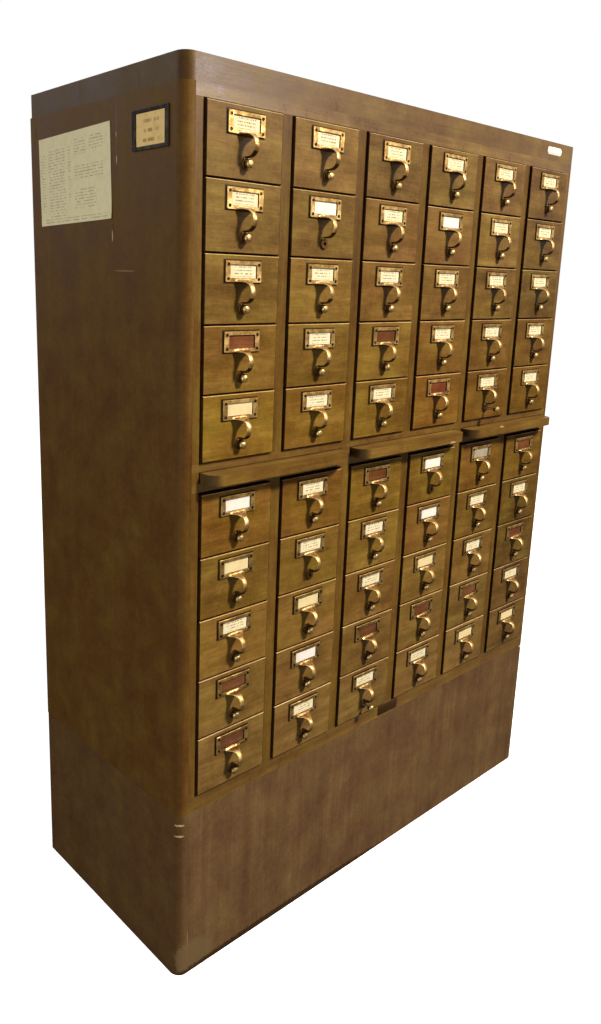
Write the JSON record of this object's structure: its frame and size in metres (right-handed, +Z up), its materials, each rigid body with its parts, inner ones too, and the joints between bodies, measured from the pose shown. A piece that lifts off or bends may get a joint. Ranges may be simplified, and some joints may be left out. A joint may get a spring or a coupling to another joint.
{
  "type": "card index cabinet",
  "caption": "Tall wooden card index cabinet: rows of small drawers with hook pulls, label plates and card rods, over and under pull-out writing shelves, on a deep plinth.",
  "frame": {"origin": "on the floor under the middle of the cabinet's overall box, closed drawers and drawn rod included", "axes": "+X across the front to the right as seen from the front, +Y from the front to the rear, +Z up"},
  "size_m": [1.0354, 0.459, 1.422],
  "materials": {
    "oak_case": "aged varnish over oak, satin",
    "oak_front": "aged golden varnish over oak, satin",
    "oak_plinth": "aged dark varnish over oak, satin",
    "box_wood": "bare pale hardwood, matte",
    "back_board": "bare plywood, matte",
    "brass": "cast, aged and worn bright at the edges",
    "black_metal": "black paint, worn",
    "paper": "paper, matte"
  },
  "bodies": {
    "cabinet": {"top_cap": "oak_case", "side_panel_left": "oak_case", "side_panel_right": "oak_case", "back_panel": "back_board", "front_rails": "oak_case", "partitions": "oak_case", "decks": "oak_case", "drawer_runners": "box_wood", "plinth": "oak_plinth", "side_label_holder": "black_metal", "index_sheet": "paper"},
    "shelf_left": {"shelf_left": "oak_front"},
    "shelf_middle": {"shelf_middle": "oak_front"},
    "shelf_right": {"shelf_right": "oak_front"},
    "drawer_r1_c1": {"drawer_r1_c1": "oak_front"},
    "drawer_r1_c2": {"drawer_r1_c2": "oak_front"},
    "drawer_r1_c3": {"drawer_r1_c3": "oak_front"},
    "drawer_r1_c4": {"drawer_r1_c4": "oak_front"},
    "drawer_r1_c5": {"drawer_r1_c5": "oak_front"},
    "drawer_r1_c6": {"drawer_r1_c6": "oak_front"},
    "drawer_r2_c1": {"drawer_r2_c1": "oak_front"},
    "drawer_r2_c2": {"drawer_r2_c2": "oak_front"},
    "drawer_r2_c3": {"drawer_r2_c3": "oak_front"},
    "drawer_r2_c4": {"drawer_r2_c4": "oak_front"},
    "drawer_r2_c5": {"drawer_r2_c5": "oak_front"},
    "drawer_r2_c6": {"drawer_r2_c6": "oak_front"},
    "drawer_r3_c1": {"drawer_r3_c1": "oak_front"},
    "drawer_r3_c2": {"drawer_r3_c2": "oak_front"},
    "drawer_r3_c3": {"drawer_r3_c3": "oak_front"},
    "drawer_r3_c4": {"drawer_r3_c4": "oak_front"},
    "drawer_r3_c5": {"drawer_r3_c5": "oak_front"},
    "drawer_r3_c6": {"drawer_r3_c6": "oak_front"},
    "drawer_r4_c1": {"drawer_r4_c1": "oak_front"},
    "drawer_r4_c2": {"drawer_r4_c2": "oak_front"},
    "drawer_r4_c3": {"drawer_r4_c3": "oak_front"},
    "drawer_r4_c4": {"drawer_r4_c4": "oak_front"},
    "drawer_r4_c5": {"drawer_r4_c5": "oak_front"},
    "drawer_r4_c6": {"drawer_r4_c6": "oak_front"},
    "drawer_r5_c1": {"drawer_r5_c1": "oak_front"},
    "drawer_r5_c2": {"drawer_r5_c2": "oak_front"},
    "drawer_r5_c3": {"drawer_r5_c3": "oak_front"},
    "drawer_r5_c4": {"drawer_r5_c4": "oak_front"},
    "drawer_r5_c6": {"drawer_r5_c6": "oak_front"},
    "drawers_r6_c1_to_c3": {"drawers_r6_c1_to_c3": "oak_front"},
    "drawers_r6_c4_to_c6": {"drawers_r6_c4_to_c6": "oak_front"},
    "drawers_r7_c1_to_c3": {"drawers_r7_c1_to_c3": "oak_front"},
    "drawers_r7_c4_to_c6": {"drawers_r7_c4_to_c6": "oak_front"},
    "drawers_r8_c1_to_c3": {"drawers_r8_c1_to_c3": "oak_front"},
    "drawers_r8_c4_to_c6": {"drawers_r8_c4_to_c6": "oak_front"},
    "drawers_r9_c1_to_c3": {"drawers_r9_c1_to_c3": "oak_front"},
    "drawers_r9_c4_to_c6": {"drawers_r9_c4_to_c6": "oak_front"},
    "drawers_r10_c1_to_c3": {"drawers_r10_c1_to_c3": "oak_front"},
    "drawers_r10_c4_to_c6": {"drawers_r10_c4_to_c6": "oak_front"},
    "drawer_r5_c5": {"drawer_r5_c5_front": "oak_front", "drawer_r5_c5_box": "box_wood", "drawer_r5_c5_pull": "brass", "drawer_r5_c5_pull_screws": "brass", "drawer_r5_c5_label_card": "paper"},
    "drawer_r5_c5_follower": {"drawer_r5_c5_follower_block": "box_wood"},
    "drawer_r5_c5_rod": {"drawer_r5_c5_card_rod": "brass"}
  },
  "joints": [
    {"name": "shelf_left_slide", "type": "slide", "parent": "cabinet", "child": "shelf_left", "axis": [0, -1, 0], "range_m": [0, 0.28]},
    {"name": "shelf_middle_slide", "type": "slide", "parent": "cabinet", "child": "shelf_middle", "axis": [0, -1, 0], "range_m": [0, 0.28]},
    {"name": "shelf_right_slide", "type": "slide", "parent": "cabinet", "child": "shelf_right", "axis": [0, -1, 0], "range_m": [0, 0.28]},
    {"name": "drawer_r1_c1_slide", "type": "slide", "parent": "cabinet", "child": "drawer_r1_c1", "axis": [0, -1, 0], "range_m": [0, 0.33]},
    {"name": "drawer_r1_c2_slide", "type": "slide", "parent": "cabinet", "child": "drawer_r1_c2", "axis": [0, -1, 0], "range_m": [0, 0.33]},
    {"name": "drawer_r1_c3_slide", "type": "slide", "parent": "cabinet", "child": "drawer_r1_c3", "axis": [0, -1, 0], "range_m": [0, 0.33]},
    {"name": "drawer_r1_c4_slide", "type": "slide", "parent": "cabinet", "child": "drawer_r1_c4", "axis": [0, -1, 0], "range_m": [0, 0.33]},
    {"name": "drawer_r1_c5_slide", "type": "slide", "parent": "cabinet", "child": "drawer_r1_c5", "axis": [0, -1, 0], "range_m": [0, 0.33]},
    {"name": "drawer_r1_c6_slide", "type": "slide", "parent": "cabinet", "child": "drawer_r1_c6", "axis": [0, -1, 0], "range_m": [0, 0.33]},
    {"name": "drawer_r2_c1_slide", "type": "slide", "parent": "cabinet", "child": "drawer_r2_c1", "axis": [0, -1, 0], "range_m": [0, 0.33]},
    {"name": "drawer_r2_c2_slide", "type": "slide", "parent": "cabinet", "child": "drawer_r2_c2", "axis": [0, -1, 0], "range_m": [0, 0.33]},
    {"name": "drawer_r2_c3_slide", "type": "slide", "parent": "cabinet", "child": "drawer_r2_c3", "axis": [0, -1, 0], "range_m": [0, 0.33]},
    {"name": "drawer_r2_c4_slide", "type": "slide", "parent": "cabinet", "child": "drawer_r2_c4", "axis": [0, -1, 0], "range_m": [0, 0.33]},
    {"name": "drawer_r2_c5_slide", "type": "slide", "parent": "cabinet", "child": "drawer_r2_c5", "axis": [0, -1, 0], "range_m": [0, 0.33]},
    {"name": "drawer_r2_c6_slide", "type": "slide", "parent": "cabinet", "child": "drawer_r2_c6", "axis": [0, -1, 0], "range_m": [0, 0.33]},
    {"name": "drawer_r3_c1_slide", "type": "slide", "parent": "cabinet", "child": "drawer_r3_c1", "axis": [0, -1, 0], "range_m": [0, 0.33]},
    {"name": "drawer_r3_c2_slide", "type": "slide", "parent": "cabinet", "child": "drawer_r3_c2", "axis": [0, -1, 0], "range_m": [0, 0.33]},
    {"name": "drawer_r3_c3_slide", "type": "slide", "parent": "cabinet", "child": "drawer_r3_c3", "axis": [0, -1, 0], "range_m": [0, 0.33]},
    {"name": "drawer_r3_c4_slide", "type": "slide", "parent": "cabinet", "child": "drawer_r3_c4", "axis": [0, -1, 0], "range_m": [0, 0.33]},
    {"name": "drawer_r3_c5_slide", "type": "slide", "parent": "cabinet", "child": "drawer_r3_c5", "axis": [0, -1, 0], "range_m": [0, 0.33]},
    {"name": "drawer_r3_c6_slide", "type": "slide", "parent": "cabinet", "child": "drawer_r3_c6", "axis": [0, -1, 0], "range_m": [0, 0.33]},
    {"name": "drawer_r4_c1_slide", "type": "slide", "parent": "cabinet", "child": "drawer_r4_c1", "axis": [0, -1, 0], "range_m": [0, 0.33]},
    {"name": "drawer_r4_c2_slide", "type": "slide", "parent": "cabinet", "child": "drawer_r4_c2", "axis": [0, -1, 0], "range_m": [0, 0.33]},
    {"name": "drawer_r4_c3_slide", "type": "slide", "parent": "cabinet", "child": "drawer_r4_c3", "axis": [0, -1, 0], "range_m": [0, 0.33]},
    {"name": "drawer_r4_c4_slide", "type": "slide", "parent": "cabinet", "child": "drawer_r4_c4", "axis": [0, -1, 0], "range_m": [0, 0.33]},
    {"name": "drawer_r4_c5_slide", "type": "slide", "parent": "cabinet", "child": "drawer_r4_c5", "axis": [0, -1, 0], "range_m": [0, 0.33]},
    {"name": "drawer_r4_c6_slide", "type": "slide", "parent": "cabinet", "child": "drawer_r4_c6", "axis": [0, -1, 0], "range_m": [0, 0.33]},
    {"name": "drawer_r5_c1_slide", "type": "slide", "parent": "cabinet", "child": "drawer_r5_c1", "axis": [0, -1, 0], "range_m": [0, 0.33]},
    {"name": "drawer_r5_c2_slide", "type": "slide", "parent": "cabinet", "child": "drawer_r5_c2", "axis": [0, -1, 0], "range_m": [0, 0.33]},
    {"name": "drawer_r5_c3_slide", "type": "slide", "parent": "cabinet", "child": "drawer_r5_c3", "axis": [0, -1, 0], "range_m": [0, 0.33]},
    {"name": "drawer_r5_c4_slide", "type": "slide", "parent": "cabinet", "child": "drawer_r5_c4", "axis": [0, -1, 0], "range_m": [0, 0.33]},
    {"name": "drawer_r5_c6_slide", "type": "slide", "parent": "cabinet", "child": "drawer_r5_c6", "axis": [0, -1, 0], "range_m": [0, 0.33]},
    {"name": "drawers_r6_c1_to_c3_slide", "type": "slide", "parent": "cabinet", "child": "drawers_r6_c1_to_c3", "axis": [0, -1, 0], "range_m": [0, 0.33]},
    {"name": "drawers_r6_c4_to_c6_slide", "type": "slide", "parent": "cabinet", "child": "drawers_r6_c4_to_c6", "axis": [0, -1, 0], "range_m": [0, 0.33]},
    {"name": "drawers_r7_c1_to_c3_slide", "type": "slide", "parent": "cabinet", "child": "drawers_r7_c1_to_c3", "axis": [0, -1, 0], "range_m": [0, 0.33]},
    {"name": "drawers_r7_c4_to_c6_slide", "type": "slide", "parent": "cabinet", "child": "drawers_r7_c4_to_c6", "axis": [0, -1, 0], "range_m": [0, 0.33]},
    {"name": "drawers_r8_c1_to_c3_slide", "type": "slide", "parent": "cabinet", "child": "drawers_r8_c1_to_c3", "axis": [0, -1, 0], "range_m": [0, 0.33]},
    {"name": "drawers_r8_c4_to_c6_slide", "type": "slide", "parent": "cabinet", "child": "drawers_r8_c4_to_c6", "axis": [0, -1, 0], "range_m": [0, 0.33]},
    {"name": "drawers_r9_c1_to_c3_slide", "type": "slide", "parent": "cabinet", "child": "drawers_r9_c1_to_c3", "axis": [0, -1, 0], "range_m": [0, 0.33]},
    {"name": "drawers_r9_c4_to_c6_slide", "type": "slide", "parent": "cabinet", "child": "drawers_r9_c4_to_c6", "axis": [0, -1, 0], "range_m": [0, 0.33]},
    {"name": "drawers_r10_c1_to_c3_slide", "type": "slide", "parent": "cabinet", "child": "drawers_r10_c1_to_c3", "axis": [0, -1, 0], "range_m": [0, 0.33]},
    {"name": "drawers_r10_c4_to_c6_slide", "type": "slide", "parent": "cabinet", "child": "drawers_r10_c4_to_c6", "axis": [0, -1, 0], "range_m": [0, 0.33]},
    {"name": "drawer_r5_c5_slide", "type": "slide", "parent": "cabinet", "child": "drawer_r5_c5", "axis": [0, -1, 0], "range_m": [0, 0.33]},
    {"name": "drawer_r5_c5_follower_slide", "type": "slide", "parent": "drawer_r5_c5", "child": "drawer_r5_c5_follower", "axis": [0, -1, 0], "range_m": [0, 0.3]},
    {"name": "drawer_r5_c5_rod_draw", "type": "slide", "parent": "drawer_r5_c5", "child": "drawer_r5_c5_rod", "axis": [0, -1, 0], "range_m": [-0.019, 0.34]}
  ]
}
